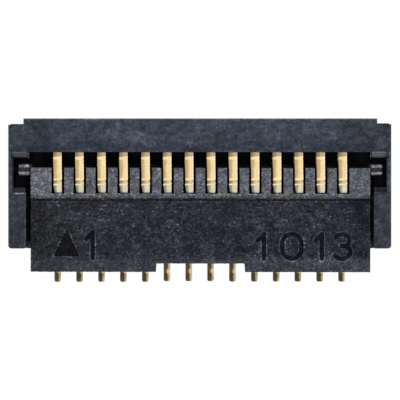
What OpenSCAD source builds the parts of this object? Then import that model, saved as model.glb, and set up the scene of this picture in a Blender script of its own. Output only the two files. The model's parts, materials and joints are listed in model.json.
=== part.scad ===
// Fourteen-way 0.5 mm flex-cable connector with a flip lever, shown shut.
// Millimetres. X runs along the row of contacts, Y towards the housing's rear bar, Z up from the board.
// The origin is the middle of the underside of the overall box.

/* [Row] */
// spacing of neighbouring contacts, centre to centre
pitch = 0.5; // [0.45:0.01:0.6]
// plastic beyond the centre of the outermost contact, at each end
end_w = 1.114; // [1.05:0.01:1.4]

/* [Depths] */
// depth of the housing's rear bar
bar_depth = 0.765; // [0.65:0.01:1.0]
// opening from the bar's front face to the lever's hinge axis
hinge_gap = 0.397; // [0.38:0.01:0.6]
// hinge axis to the lever's free edge
lever_reach = 2.315; // [2.1:0.01:2.8]
// solder tail that shows past the lever's free edge
tail_show = 0.251; // [0.15:0.01:0.5]
// hinge axis to the front end of the side arms and floor
arm_reach = 1.802; // [1.6:0.01:2.0]
// step by which the side arms stop short of the bar's rear face
arm_step = 0.126; // [0.0:0.01:0.2]

/* [Heights] */
// board to the top of the bar and of the shut lever
height = 1.2; // [1.15:0.01:1.5]
// lift of the plastic underside above the solder feet
standoff = 0.03; // [0.01:0.01:0.06]
// floor thickness left under the contacts
skin = 0.1; // [0.08:0.01:0.14]
// top of the ribs that carry the flex cable
rib_top = 0.42; // [0.4:0.01:0.46]
// thickness of the flex cable's stiffened end
flex_t = 0.3; // [0.28:0.01:0.32]
// roof of the rear bar over the contacts
roof_t = 0.15; // [0.12:0.01:0.18]
// hinge axis below the top of the lever
axis_drop = 0.32; // [0.3:0.01:0.34]

/* [Side arms] */
// width of one side arm
arm_w = 0.394; // [0.36:0.01:0.5]
// how far the rear bar's end stands in from the side arm's outer face
bar_inset = 0.341; // [0.25:0.01:0.36]
// outer wall left beside the pivot pocket
pocket_wall = 0.084; // [0.06:0.01:0.1]
// pivot pocket behind the hinge axis
pocket_rear = 0.27; // [0.24:0.01:0.3]
// pivot pocket in front of the hinge axis
pocket_front = 0.411; // [0.35:0.01:0.6]
// radius on the outer front corner of a side arm
corner_r = 0.075; // [0.02:0.01:0.12]
// step of the side arms' tops below the bar's top
arm_drop = 0.012; // [0.0:0.002:0.03]
// bevel along the outer top edges
bevel = 0.025; // [0.01:0.005:0.04]

/* [Lever] */
// side gap between the lever's end and a side arm
lever_gap = 0.1; // [0.06:0.01:0.14]
// diameter of the hinge shaft and of its end pivots
shaft_d = 0.254; // [0.22:0.01:0.28]
// running clearance around the shaft
shaft_gap = 0.03; // [0.02:0.005:0.04]
// pivot length past the lever's end
pivot_len = 0.284; // [0.2:0.01:0.3]
// width of the slot around each contact arm
slot_w = 0.286; // [0.26:0.01:0.32]
// hinge axis to the closed end of a slot
slot_len = 0.552; // [0.54:0.01:0.62]
// bridge of the strip in front of the slots
bridge_w = 0.112; // [0.08:0.01:0.2]
// width of the groove between the strip and the plate
groove_w = 0.044; // [0.03:0.005:0.06]
// depth of that groove below the strip
groove_d = 0.05; // [0.02:0.005:0.08]
// lever behind its hinge axis
heel = 0.061; // [0.03:0.01:0.1]
// level of the slotted strip below the lever's top
strip_drop = 0.03; // [0.01:0.005:0.05]
// front edge of the press pad, from the hinge axis
pad_front = 1.29; // [1.2:0.01:1.4]
// rear edge of the press pad, from the hinge axis
pad_rear = 0.72; // [0.66:0.01:0.8]
// slope in front of and behind the press pad
pad_slope = 0.06; // [0.04:0.01:0.1]
// length of the lead-in under the free edge
lead_len = 0.16; // [0.1:0.01:0.25]
// height of the lead-in under the free edge
lead_rise = 0.16; // [0.1:0.01:0.2]
// half width of the finger notch
notch_half = 1.003; // [0.8:0.01:1.2]
// depth of the finger notch
notch_depth = 0.182; // [0.1:0.01:0.3]

/* [Contacts] */
// thickness of the contact sheet
contact_t = 0.2; // [0.16:0.01:0.22]
// width of the narrowed solder tail
tail_w = 0.153; // [0.12:0.01:0.16]
// thickness of the solder tail
tail_t = 0.12; // [0.09:0.01:0.13]
// side clearance of a contact in its channel
channel_gap = 0.015; // [0.01:0.005:0.025]
// thickness of the hook arm over the shaft
hook_t = 0.11; // [0.09:0.01:0.12]
// hinge axis to the tip of the hook
hook_reach = 0.502; // [0.46:0.01:0.51]
// fall of the hook's nose towards its tip
nose_drop = 0.05; // [0.02:0.01:0.1]
// thickness of the base beam on the floor
base_t = 0.11; // [0.1:0.01:0.12]

/* [Hold-downs] */
// thickness of the hold-down sheet
tab_t = 0.148; // [0.12:0.01:0.16]
// width of the hold-down sheet
tab_w = 0.374; // [0.32:0.01:0.38]
// top of the hold-down below the top of the housing
tab_drop = 0.12; // [0.08:0.01:0.2]
// length of the soldered foot
foot_len = 1.3; // [1.0:0.01:1.5]
// clearance around the hold-down
tab_gap = 0.01; // [0.01:0.005:0.02]

/* [Hidden] */
count = 14;
eps = 0.01;
over = 1;

row_half = pitch * (count - 1) / 2;
half_w = row_half + end_w;
arm_in = half_w - arm_w;
bar_half = half_w - bar_inset;
lever_half = arm_in - lever_gap;
depth = bar_depth + hinge_gap + lever_reach + tail_show;

rear_y = depth / 2;
bar_y = rear_y - bar_depth;
axis_y = bar_y - hinge_gap;
free_y = axis_y - lever_reach;
tail_y = -depth / 2;
front_y = axis_y - arm_reach;
arm_rear_y = rear_y - arm_step;

axis_z = height - axis_drop;
shaft_r = shaft_d / 2;
seat_r = shaft_r + shaft_gap;
base_z = standoff + skin;
cavity_top = height - roof_t;
hook_z = axis_z + seat_r;
hook_top = hook_z + hook_t;
root_top = cavity_top - 0.02;

web_y0 = bar_y + 0.18;
web_y1 = rear_y - 0.12;
pocket_y0 = axis_y - pocket_front;
pocket_y1 = axis_y + pocket_rear;
pocket_z = 0.5;
tab_y0 = pocket_y1 + tab_gap;
tab_y1 = tab_y0 + tab_t;
tab_x0 = half_w - pocket_wall + 0.01 - tab_w;
tab_top = height - tab_drop;
foot_y = tab_y1 - foot_len;
press_z = rib_top + flex_t;
guide_top = press_z - 0.06;
arm_top = height - arm_drop;
flex_half = row_half + pitch + 0.05;

function contact_x(i) = (i - (count - 1) / 2) * pitch;

// a profile drawn in Y and Z, carried along X from x0 to x1
module along_x(x0, x1) {
  translate([x0, 0, 0]) rotate([90, 0, 90]) linear_extrude(height = x1 - x0) children();
}

// an axis-aligned block between two corners
module block(a, b) {
  translate(a) cube([b[0] - a[0], b[1] - a[1], b[2] - a[2]]);
}

// ---- housing ----

module bar_profile() {
  polygon([[bar_y, standoff], [rear_y, standoff], [rear_y, height - bevel], [rear_y - bevel, height],
    [bar_y + bevel / 2, height], [bar_y, height - bevel / 2]]);
}

module arm_plan() {
  r = corner_r;
  difference() {
    translate([arm_in, front_y]) square([arm_w, arm_rear_y - front_y]);
    translate([half_w - r, front_y - eps]) square([r + eps, r + eps]);
    translate([arm_in - eps, front_y - eps]) square([r / 2 + eps, r / 2 + eps]);
    translate([half_w - bevel, arm_rear_y]) rotate(45) square([bevel * 2, bevel * 2], center = true);
  }
  translate([half_w - r, front_y + r]) circle(r = r, $fn = 32);
  translate([arm_in + r / 2, front_y + r / 2]) circle(r = r / 2, $fn = 24);
}

module side_arm() {
  difference() {
    translate([0, 0, standoff]) linear_extrude(height = arm_top - standoff) arm_plan();
    // bevel on the outer top edge
    translate([half_w, (front_y + arm_rear_y) / 2, arm_top]) rotate([0, 45, 0])
      cube([bevel * 1.414, over * 4, bevel * 1.414], center = true);
    // bevel on the front top edge
    translate([half_w, front_y, arm_top]) rotate([45, 0, 0])
      cube([over * 2, bevel * 1.414, bevel * 1.414], center = true);
  }
}

module pivot_pocket() {
  wall_x = half_w - pocket_wall;
  block([arm_in - eps, pocket_y0, pocket_z], [wall_x, pocket_y1, height + over]);
  // stepped ledge at the pocket's front, with a sloped lip above it
  along_x(arm_in - eps, wall_x)
    polygon([[pocket_y0 + eps, arm_top - 0.2], [pocket_y0 + eps, height + over], [pocket_y0 - 0.14, height + over],
      [pocket_y0 - 0.14, arm_top], [pocket_y0 - 0.1, arm_top - 0.05], [pocket_y0 - 0.1, arm_top - 0.2]]);
}

// concave rest under the pivot; the hook arms hold the shaft from above and both sides
module cradle() {
  wall_x = half_w - pocket_wall;
  difference() {
    block([arm_in + 0.02, axis_y - 0.115, pocket_z - eps], [wall_x + eps, axis_y + 0.115, axis_z - 0.03]);
    along_x(arm_in - eps, wall_x + 2 * eps) translate([axis_y, axis_z]) circle(r = seat_r, $fn = 48);
  }
}

module fitting_slot() {
  g = tab_gap;
  // upright slot, open to the pocket in front of it and upward
  block([tab_x0 - g, tab_y0 - 2 * g, -eps], [tab_x0 + tab_w + g, tab_y1 + g, height + over]);
  // space for the foot under the arm
  block([tab_x0 - g, foot_y - g, -eps], [tab_x0 + tab_w + g, tab_y1 + g, tab_t + g]);
}

module contact_channel() {
  w = contact_t / 2 + channel_gap;
  block([-w, front_y - over, base_z], [w, bar_y + eps, rib_top + over * 0.2]);
  block([-w, bar_y - eps, base_z], [w, rear_y + over, cavity_top]);
  // flared mouth of the rear opening
  along_x(-w - 0.03, w + 0.03)
    polygon([[rear_y - 0.03, base_z - 0.0], [rear_y + 0.05, base_z], [rear_y + 0.05, cavity_top + 0.03],
      [rear_y - 0.03, cavity_top + 0.03]]);
}

module housing() {
  color([0.1, 0.11, 0.13]) difference() {
    union() {
      along_x(-bar_half, bar_half) bar_profile();
      block([-arm_in - eps, front_y, standoff], [arm_in + eps, bar_y + eps, rib_top]);
      side_arm();
      mirror([1, 0, 0]) side_arm();
      // low guide walls that centre the flex cable
      for (s = [0, 1]) mirror([s, 0, 0]) along_x(flex_half, arm_in + eps)
        polygon([[front_y, rib_top - eps], [front_y + 0.16, guide_top], [axis_y - 0.42, guide_top],
          [axis_y - 0.36, rib_top - eps]]);
    }
    for (i = [0 : count - 1]) translate([contact_x(i), 0, 0]) contact_channel();
    // mouth for the end of the flex cable, inside the bar's front face
    along_x(-row_half - 0.35, row_half + 0.35)
      polygon([[bar_y - eps, rib_top], [bar_y + 0.14, rib_top], [bar_y + 0.14, rib_top + 0.36],
        [bar_y - eps, rib_top + 0.42]]);
    // lead-in along the floor's front edge
    along_x(-arm_in, arm_in)
      polygon([[front_y - eps, rib_top - 0.1], [front_y + 0.16, rib_top + eps], [front_y - eps, rib_top + eps]]);
    for (s = [0, 1]) mirror([s, 0, 0]) {
      difference() {
        pivot_pocket();
        cradle();
      }
      fitting_slot();
    }
    // shallow relief under the floor between the feet
    block([-row_half, front_y + 0.4, -eps], [row_half, bar_y - 0.2, standoff + 0.02]);
  }
}

// ---- lever ----

module lever_profile() {
  strip_z = height - strip_drop;
  edge_y = axis_y - slot_len - bridge_w;
  polygon([
    [axis_y + heel, axis_z - 0.08], [axis_y + heel, strip_z - 0.02], [axis_y + heel - 0.02, strip_z],
    [edge_y, strip_z], [edge_y - 0.006, strip_z - groove_d], [edge_y - groove_w, strip_z - groove_d],
    [edge_y - groove_w - 0.006, height - 0.02], [edge_y - groove_w - 0.026, height],
    [free_y + 0.03, height], [free_y, height - 0.03],
    [free_y, press_z + pad_slope + lead_rise], [free_y + lead_len, press_z + pad_slope],
    [axis_y - pad_front - pad_slope, press_z + pad_slope], [axis_y - pad_front, press_z + 0.005],
    [axis_y - pad_rear, press_z + 0.005], [axis_y - pad_rear + 1.6 * pad_slope, press_z + 0.05],
    [axis_y - 0.02, press_z + 0.05]
  ]);
}

module actuator() {
  nd = notch_depth;
  color([0.07, 0.07, 0.08]) union() {
    difference() {
      along_x(-lever_half, lever_half) lever_profile();
      for (i = [0 : count - 1]) translate([contact_x(i), 0, 0])
        block([-slot_w / 2, axis_y - slot_len, 0], [slot_w / 2, axis_y + over, height + over]);
      // finger notch
      block([-notch_half, free_y - over, 0], [notch_half, free_y + nd, height + over]);
      for (s = [0, 1]) mirror([s, 0, 0]) {
        translate([notch_half, free_y, 0]) rotate(45) cube([0.06, 0.06, over * 4], center = true);
        // clipped outer corners
        translate([lever_half, free_y, 0]) rotate(45) cube([0.04, 0.04, over * 4], center = true);
        // relief at the lever's ends, clear of the arms' inner ribs
        block([lever_half - 0.05, free_y - over, 0], [lever_half + over, axis_y - 0.75, press_z + 0.12]);
      }
    }
    // hinge shaft, full length
    along_x(-lever_half, lever_half) translate([axis_y, axis_z]) circle(r = shaft_r, $fn = 48);
    // end pivots with a stepped nose
    for (s = [0, 1]) mirror([s, 0, 0]) {
      along_x(lever_half - eps, lever_half + pivot_len - 0.03)
        translate([axis_y, axis_z]) circle(r = shaft_r, $fn = 48);
      translate([lever_half + pivot_len - 0.03 - eps, axis_y, axis_z]) rotate([0, 90, 0])
        cylinder(h = 0.03 + eps, r1 = shaft_r, r2 = shaft_r - 0.03, $fn = 48);
    }
  }
}

// ---- contacts ----

module seat_cut() {
  translate([axis_y, axis_z]) circle(r = seat_r, $fn = 64);
}

// hook arm over the shaft, with its rising root inside the bar
module hook_profile() {
  tip = axis_y - hook_reach;
  difference() {
    polygon([
      [web_y0 + 0.02, root_top - 0.17], [web_y0 + 0.02, root_top], [bar_y + 0.01, root_top],
      [bar_y - 0.09, hook_top - 0.03], [bar_y - 0.13, hook_top - 0.004], [bar_y - 0.15, hook_top],
      [axis_y - 0.26, hook_top], [axis_y - 0.285, hook_top - 0.028], [axis_y - 0.305, hook_top - 0.028],
      [axis_y - 0.315, hook_top - 0.004], [axis_y - 0.345, hook_top - 0.01],
      [tip + 0.02, hook_top - nose_drop], [tip, hook_top - nose_drop - 0.02], [tip, hook_top - 0.155],
      [tip + 0.02, hook_top - 0.17],
      [axis_y - 0.31, hook_top - 0.16], [axis_y - 0.225, axis_z + 0.02], [axis_y - 0.19, axis_z],
      [axis_y, axis_z + 0.02], [axis_y + seat_r + 0.02, axis_z + 0.05], [axis_y + seat_r + 0.09, hook_z - 0.05],
      [bar_y + 0.02, root_top - 0.17]
    ]);
    seat_cut();
  }
}

// upright web in the bar, base beam on the floor, spring beam with its bump
module body_profile() {
  polygon([
    [front_y - 0.1, base_z], [web_y1, base_z], [web_y1, root_top - 0.05], [web_y1 - 0.05, root_top],
    [web_y0, root_top], [web_y0, base_z + 0.34], [web_y0 - 0.05, base_z + 0.31], [axis_y - 0.5, base_z + 0.29],
    [axis_y - 0.85, base_z + 0.3], [axis_y - 0.93, base_z + 0.36], [axis_y - 0.97, base_z + 0.37],
    [axis_y - 1.01, base_z + 0.36], [axis_y - 1.12, base_z + 0.26], [axis_y - 1.16, base_z + 0.23],
    [axis_y - 1.13, base_z + 0.2], [axis_y - 0.95, base_z + 0.23], [axis_y - 0.5, base_z + 0.195],
    [web_y0 - 0.12, base_z + 0.19], [web_y0 - 0.08, base_z + 0.15], [web_y0 - 0.12, base_z + base_t],
    [front_y - 0.1, base_z + base_t]
  ]);
}

// stepped solder tail
module tail_profile() {
  y0 = front_y - 0.1;
  y1 = tail_y + 0.37;
  y2 = tail_y + 0.25;
  polygon([
    [y0 + 0.06, base_z], [y0 + 0.06, base_z + base_t], [y1 + 0.03, base_z + base_t], [y1 - 0.02, base_z + base_t - 0.012],
    [y2 + 0.01, tail_t + 0.012], [y2 - 0.03, tail_t], [tail_y + 0.04, tail_t], [tail_y + 0.012, tail_t - 0.012],
    [tail_y, tail_t - 0.04], [tail_y, 0.025], [tail_y + 0.02, 0], [y2 + 0.03, 0], [y2 + 0.07, 0.012],
    [y1 + 0.05, base_z - 0.012], [y1 + 0.09, base_z]
  ]);
}

module contact() {
  h = contact_t / 2;
  color([0.85, 0.62, 0.28]) difference() {
    union() {
      along_x(-h, h) body_profile();
      along_x(-h, h) hook_profile();
      along_x(-tail_w / 2, tail_w / 2) tail_profile();
    }
    // tapered sides of the hook's nose and rounded ends of the tail
    for (s = [0, 1]) mirror([s, 0, 0]) {
      translate([h, axis_y - hook_reach, axis_z]) rotate(-12) translate([0, -0.1, -0.1])
        cube([0.2, 0.25, 0.5]);
      translate([tail_w / 2, tail_y, 0]) rotate(45) cube([0.05, 0.05, 0.5], center = true);
    }
  }
}

// ---- hold-downs ----

// bent strip: an upright tab, an outer bend, and a foot run forward under the side arm
module fitting() {
  color([0.72, 0.72, 0.7]) along_x(tab_x0, tab_x0 + tab_w) difference() {
    union() {
      translate([tab_y0, tab_t]) square([tab_t, tab_top - tab_t - 0.03]);
      translate([tab_y0 + 0.03, tab_top - 0.05]) square([tab_t - 0.06, 0.05]);
      translate([foot_y, 0]) square([foot_len - tab_t, tab_t]);
      intersection() {
        translate([tab_y0, tab_t]) circle(r = tab_t, $fn = 64);
        translate([tab_y0 - eps, 0]) square([tab_t + eps, tab_t + eps]);
      }
    }
    // lifted toe, so that solder wicks under it
    translate([foot_y, 0]) rotate(45) square([0.05, 0.05], center = true);
  }
}

housing();
actuator();
mirror([1, 0, 0]) fitting();  // fitting_left
fitting();  // fitting_right
translate([contact_x(0), 0, 0]) contact();  // contact_01
translate([contact_x(1), 0, 0]) contact();  // contact_02
translate([contact_x(2), 0, 0]) contact();  // contact_03
translate([contact_x(3), 0, 0]) contact();  // contact_04
translate([contact_x(4), 0, 0]) contact();  // contact_05
translate([contact_x(5), 0, 0]) contact();  // contact_06
translate([contact_x(6), 0, 0]) contact();  // contact_07
translate([contact_x(7), 0, 0]) contact();  // contact_08
translate([contact_x(8), 0, 0]) contact();  // contact_09
translate([contact_x(9), 0, 0]) contact();  // contact_10
translate([contact_x(10), 0, 0]) contact();  // contact_11
translate([contact_x(11), 0, 0]) contact();  // contact_12
translate([contact_x(12), 0, 0]) contact();  // contact_13
translate([contact_x(13), 0, 0]) contact();  // contact_14
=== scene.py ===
import bpy, bmesh, json, math
import numpy as np
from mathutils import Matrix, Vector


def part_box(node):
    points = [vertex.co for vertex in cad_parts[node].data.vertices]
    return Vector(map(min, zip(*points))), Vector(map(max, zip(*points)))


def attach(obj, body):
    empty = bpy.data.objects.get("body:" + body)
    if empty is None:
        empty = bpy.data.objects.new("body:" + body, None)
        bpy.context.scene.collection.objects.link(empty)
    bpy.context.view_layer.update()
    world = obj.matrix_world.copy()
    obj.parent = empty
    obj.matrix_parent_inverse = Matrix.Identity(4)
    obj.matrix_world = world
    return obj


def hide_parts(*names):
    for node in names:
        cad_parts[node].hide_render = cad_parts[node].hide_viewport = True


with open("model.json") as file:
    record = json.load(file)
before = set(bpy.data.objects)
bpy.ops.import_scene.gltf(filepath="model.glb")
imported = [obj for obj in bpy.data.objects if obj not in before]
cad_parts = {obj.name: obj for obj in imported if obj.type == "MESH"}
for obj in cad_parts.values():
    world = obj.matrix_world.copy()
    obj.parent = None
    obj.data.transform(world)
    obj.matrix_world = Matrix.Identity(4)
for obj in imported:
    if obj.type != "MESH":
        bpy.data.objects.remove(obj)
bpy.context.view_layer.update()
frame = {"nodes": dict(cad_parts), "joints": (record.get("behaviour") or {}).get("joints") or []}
mm = 0.001             # shapes are worked out in millimetres and put into the mesh in metres


def boxOf(node):
    low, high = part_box(node)
    return np.array(low) / mm, np.array(high) / mm


housingLow, housingHigh = boxOf("housing")
leverLow, leverHigh = boxOf("actuator")
contactNodes = sorted(n for n in frame["nodes"] if n.startswith("contact_"))
contactX = [float((boxOf(n)[0][0] + boxOf(n)[1][0]) / 2) for n in contactNodes]
pitch = contactX[1] - contactX[0]
hinge = np.array(frame["joints"][0]["pos_m"]) / mm
axisY, axisZ = float(hinge[1]), float(hinge[2])
topZ = float(housingHigh[2])
rearY = float(housingHigh[1])
tailY = float(boxOf("contact_01")[0][1])
layout = {
    "barFront": 0.397,     # hinge axis to the rear bar's front face
    "armIn": 3.970,        # inner face of a side arm
    "leverHalf": 3.870,
    "slotLength": 0.552,   # hinge axis to the closed end of a slot
    "bridge": 0.112,       # strip left in front of the slots
}
barY = axisY + layout["barFront"]
slotY = axisY - layout["slotLength"]
stripEdge = slotY - layout["bridge"]


def smoothStep(a, b, x):
    # 0 below a, 1 above b, and an S-curve 3t^2 - 2t^3 between them
    t = np.clip((np.asarray(x, float) - a) / (b - a), 0, 1)
    return t * t * (3 - 2 * t)


def edgeDrop(d, r):
    # how far a rounded edge of radius r lies below the flat, at distance d in from the edge: r - sqrt(r^2 - (r - d)^2)
    inner = np.clip(r - np.asarray(d, float), 0, r)
    return r - np.sqrt(np.clip(r * r - inner * inner, 0, None))


def steps(*runs):
    # joins evenly spaced runs (start, end, count) into one rising list without doubles
    return np.unique(np.round(np.concatenate([np.linspace(a, b, n) for a, b, n in runs]), 6))


def edged(a, b, r, count):
    # stations from a to b, gathered at both ends where the edges are rounded
    ends = r * np.array([0, 0.04, 0.16, 0.4, 1.0])
    return np.concatenate([a + ends, np.linspace(a + r, b - r, count)[1:-1], (b - ends)[::-1]])


def putMesh(name, points, faces):
    # points (n, 3) in millimetres and faces as lists of index rows, written with foreach_set
    mesh = bpy.data.meshes.new(name)
    loops = np.concatenate([f.ravel() for f in faces])
    sizes = np.concatenate([np.full(len(f), f.shape[1]) for f in faces])
    mesh.vertices.add(len(points))
    mesh.vertices.foreach_set("co", (np.asarray(points) * mm).astype(np.float32).ravel())
    mesh.loops.add(len(loops))
    mesh.loops.foreach_set("vertex_index", loops.astype(np.int32))
    mesh.polygons.add(len(sizes))
    mesh.polygons.foreach_set("loop_start", (np.cumsum(sizes) - sizes).astype(np.int32))
    mesh.update(calc_edges=True)
    mesh.validate()
    mesh.polygons.foreach_set("use_smooth", np.ones(len(mesh.polygons), bool))
    mesh.set_sharp_from_angle(angle=math.radians(38))
    piece = bpy.data.objects.new(name, mesh)
    bpy.context.scene.collection.objects.link(piece)
    return piece


def slab(px, py, top, bottom):
    # a closed sheet over a plan grid: height top(s, j) above, bottom(s, j) below, joined by walls round the border
    s, j = px.shape
    index = np.arange(s * j).reshape(s, j)
    a, b, c, d = index[:-1, :-1], index[1:, :-1], index[1:, 1:], index[:-1, 1:]
    upper = np.stack([a, b, c, d], -1).reshape(-1, 4)
    lower = upper[:, ::-1] + s * j
    rim = np.concatenate([index[:, 0][::-1], index[0, 1:], index[1:, -1], index[-1, 1:-1][::-1]])
    following = np.roll(rim, -1)
    walls = np.stack([rim, following, following + s * j, rim + s * j], -1)
    points = np.concatenate([np.stack([px, py, level], -1).reshape(-1, 3) for level in (top, bottom)])
    area = (px[1, 0] - px[0, 0]) * (py[0, 1] - py[0, 0]) - (px[0, 1] - px[0, 0]) * (py[1, 0] - py[0, 0])
    quads = np.concatenate([upper, lower, walls])
    return points, quads if area > 0 else quads[:, ::-1]


def joined(name, shells):
    # several closed shells in one mesh
    points, quads, start = [], [], 0
    for p, q in shells:
        points.append(p)
        quads.append(q + start)
        start += len(p)
    return putMesh(name, np.concatenate(points), [np.concatenate(quads)])


def carried(path, section, scale):
    # a closed section (v, 2), laid across each point of a path (s, 3) in the plane of its side vector and its normal,
    # scaled by scale(s), with both ends closed by a fan to the path's own end point
    path = np.asarray(path, float)
    along = np.gradient(path, axis=0)
    along /= np.linalg.norm(along, axis=1)[:, None]
    side = np.tile([1.0, 0, 0] if abs(along[:, 0]).max() < 0.5 else [0, 1.0, 0], (len(path), 1))
    normal = np.cross(side, along)
    rings = (path[:, None] + side[:, None] * section[None, :, :1] * scale[:, None, None]
             + normal[:, None] * section[None, :, 1:] * scale[:, None, None])
    s, v = rings.shape[:2]
    index = np.arange(s * v).reshape(s, v)
    right = np.roll(index, -1, axis=1)
    quads = np.stack([index[:-1], right[:-1], right[1:], index[1:]], -1).reshape(-1, 4)
    points = np.concatenate([rings.reshape(-1, 3), path[:1], path[-1:]])
    fans = [np.stack([right[0], index[0], np.full(v, s * v)], -1),
            np.stack([index[-1], right[-1], np.full(v, s * v + 1)], -1)]
    volume = np.einsum("ij,ij->", np.cross(points[quads[:, 0]], points[quads[:, 1]]), points[quads[:, 2]])
    return points, ([quads] + fans) if volume > 0 else [quads[:, ::-1]] + [f[:, ::-1] for f in fans]


def betweenFlats(edge, cuts):
    # true for an edge that two level faces share, unless it lies on one of the cuts
    if len(edge.link_faces) != 2 or edge.calc_face_angle(1.0) >= 0.01:
        return False
    a, b = edge.verts[0].co.x, edge.verts[1].co.x
    return not any(abs(a - x) + abs(b - x) < 1e-3 for x in cuts)


def bevelledCopy(node, name, width, segments, cuts=()):
    # a merged copy of a solid's mesh with its hard edges rounded; worked out at 1000 times the size, then put back.
    # planes across the length at the cuts keep a face with many slots from being one huge polygon
    bm = bmesh.new()
    bm.from_mesh(frame["nodes"][node].data)
    bmesh.ops.scale(bm, vec=(1 / mm,) * 3, verts=bm.verts)
    bmesh.ops.remove_doubles(bm, verts=bm.verts, dist=1e-4)
    bmesh.ops.dissolve_limit(bm, angle_limit=math.radians(1), verts=bm.verts, edges=bm.edges)
    for x in cuts:
        everything = bm.verts[:] + bm.edges[:] + bm.faces[:]
        bmesh.ops.bisect_plane(bm, geom=everything, dist=1e-5, plane_co=(x, 0, 0), plane_no=(1, 0, 0))
    bmesh.ops.dissolve_edges(bm, edges=[e for e in bm.edges if betweenFlats(e, cuts)], use_verts=True)
    mesh = bpy.data.meshes.new(name)
    bm.to_mesh(mesh)
    bm.free()
    piece = bpy.data.objects.new(name, mesh)
    bpy.context.scene.collection.objects.link(piece)
    rounding = piece.modifiers.new("edges", "BEVEL")
    rounding.width, rounding.segments = width, segments
    rounding.limit_method, rounding.angle_limit = "ANGLE", math.radians(35)
    rounding.miter_outer = "MITER_ARC"
    finished = bpy.data.meshes.new_from_object(piece.evaluated_get(bpy.context.evaluated_depsgraph_get()))
    piece.modifiers.clear()
    piece.data = finished
    points = np.empty(len(finished.vertices) * 3, np.float32)
    finished.vertices.foreach_get("co", points)
    finished.vertices.foreach_set("co", points * mm)
    finished.polygons.foreach_set("use_smooth", np.ones(len(finished.polygons), bool))
    finished.update()
    finished.set_sharp_from_angle(angle=math.radians(32))
    finished.name = name
    return piece


contactShape = {
    "tailWidth": 0.153, "width": 0.2, "edge": 0.014, "tailThick": 0.12, "baseLow": 0.13, "baseThick": 0.11,
    "tornShare": 0.36,      # share of the sheet's width that tore instead of shearing clean
    "tornDrop": 0.007, "tailTornDrop": 0.045, "slant": 0.09,
    "seat": 0.157,          # hook seat radius: shaft plus running clearance
    "hookThick": 0.11, "hookReach": 0.548,
    "hookShift": 0.0085,    # the hooks stand this far right of their tails
    "hookLean": 0.006,      # and this much further right at the nose
    "sway": 0.0025,         # spread of the small differences in place from one contact to the next
    "seed": 40,             # of the first contact's differences; the others count on from it
    # the strip is cropped a little unevenly: the first tails are longest, those under the notch shortest
    "trimFirst": -0.006, "trimNotch": 0.01,
}


def tornEdge(u, drop, share):
    # the punched edge: flat over the clean part, then falling towards the torn side by drop, rounded at the change
    t = np.clip((2 * share - 1 - u) / (2 * share), 0, 1)
    return drop * t * (0.5 + 0.5 * t)


def beam(y, low, high, halfWidth, torn, edge, slant=0.0):
    # a beam along Y: across it u runs -1..1, x = u * halfWidth(y), y leans by slant * x, and both edges are rounded
    u = np.array([-1, -0.985, -0.94, -0.86, -0.6, -0.42, -0.28, -0.14, 0.1, 0.35, 0.6, 0.86, 0.94, 0.985, 1])
    px = u[None] * halfWidth[:, None]
    py = y[:, None] + np.reshape(slant, (-1, 1)) * px
    side = (1 - abs(u))[None] * halfWidth[:, None]
    round_ = edgeDrop(side, edge)
    middle = ((low + high) / 2)[:, None]
    tornFall = tornEdge(u, 1, contactShape["tornShare"])[None] * torn[:, None]
    top = np.maximum(high[:, None] - round_ - tornFall, middle + 1e-4)
    bottom = np.minimum(low[:, None] + round_, middle - 1e-4)
    return slab(px, py, top, bottom)


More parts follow.
